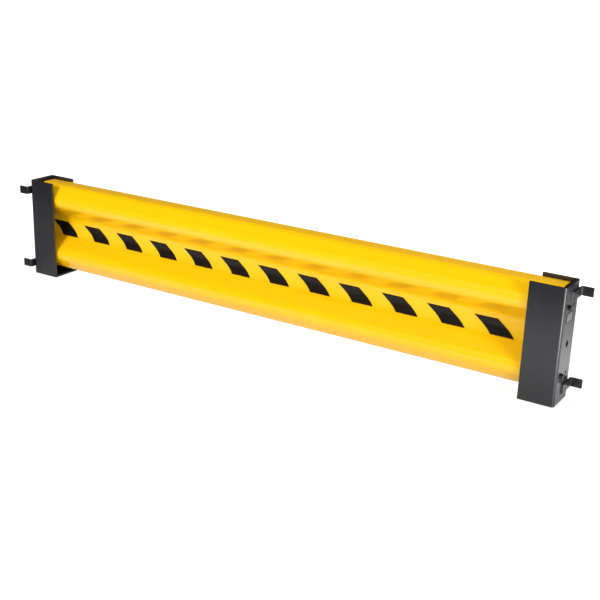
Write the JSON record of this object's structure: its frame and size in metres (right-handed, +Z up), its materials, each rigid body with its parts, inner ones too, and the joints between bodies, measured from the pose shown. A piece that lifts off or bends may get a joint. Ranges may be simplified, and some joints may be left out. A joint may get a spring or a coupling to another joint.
{
  "type": "industrial guard rail",
  "caption": "Ribbed yellow steel guard rail with a striped hazard tape in its valley, held at each end in a black channel bracket with hooked straps.",
  "frame": {"origin": "on the floor under the middle of the rail", "axes": "+X along the rail to the right, +Y from the ribbed front to the open back, +Z up"},
  "size_m": [1.898, 0.13, 0.32],
  "materials": {
    "rail_yellow": "glossy yellow powder coat on sheet steel",
    "bracket_black": "glossy black powder coat on steel plate",
    "strap_black": "glossy black powder coat on flat bar",
    "tape_yellow": "smooth yellow vinyl tape",
    "tape_black": "smooth black vinyl film",
    "bolt_black": "satin black coating on fasteners",
    "bare_silver": "bare satin plate"
  },
  "bodies": {
    "root": {"rail_beam": "rail_yellow", "hazard_tape": "tape_yellow", "tape_stripes": "tape_black", "left_bracket": "bracket_black", "right_bracket": "bracket_black", "left_bottom_plate": "bracket_black", "right_bottom_plate": "bracket_black", "left_rail_seat": "bracket_black", "right_rail_seat": "bracket_black", "left_top_clip": "rail_yellow", "left_bottom_clip": "rail_yellow", "right_top_clip": "rail_yellow", "right_bottom_clip": "rail_yellow", "left_top_bolt": "bolt_black", "left_bottom_bolt": "bolt_black", "right_top_bolt": "bolt_black", "right_bottom_bolt": "bolt_black", "left_top_washer": "bolt_black", "left_bottom_washer": "bolt_black", "right_top_washer": "bolt_black", "right_bottom_washer": "bolt_black", "left_top_nut": "bolt_black", "left_bottom_nut": "bolt_black", "right_top_nut": "bolt_black", "right_bottom_nut": "bolt_black", "left_top_strap": "strap_black", "left_bottom_strap": "strap_black", "right_top_strap": "strap_black", "right_bottom_strap": "strap_black", "left_strap_welds": "strap_black", "right_strap_welds": "strap_black", "blank_plate": "bare_silver"}
  },
  "joints": []
}
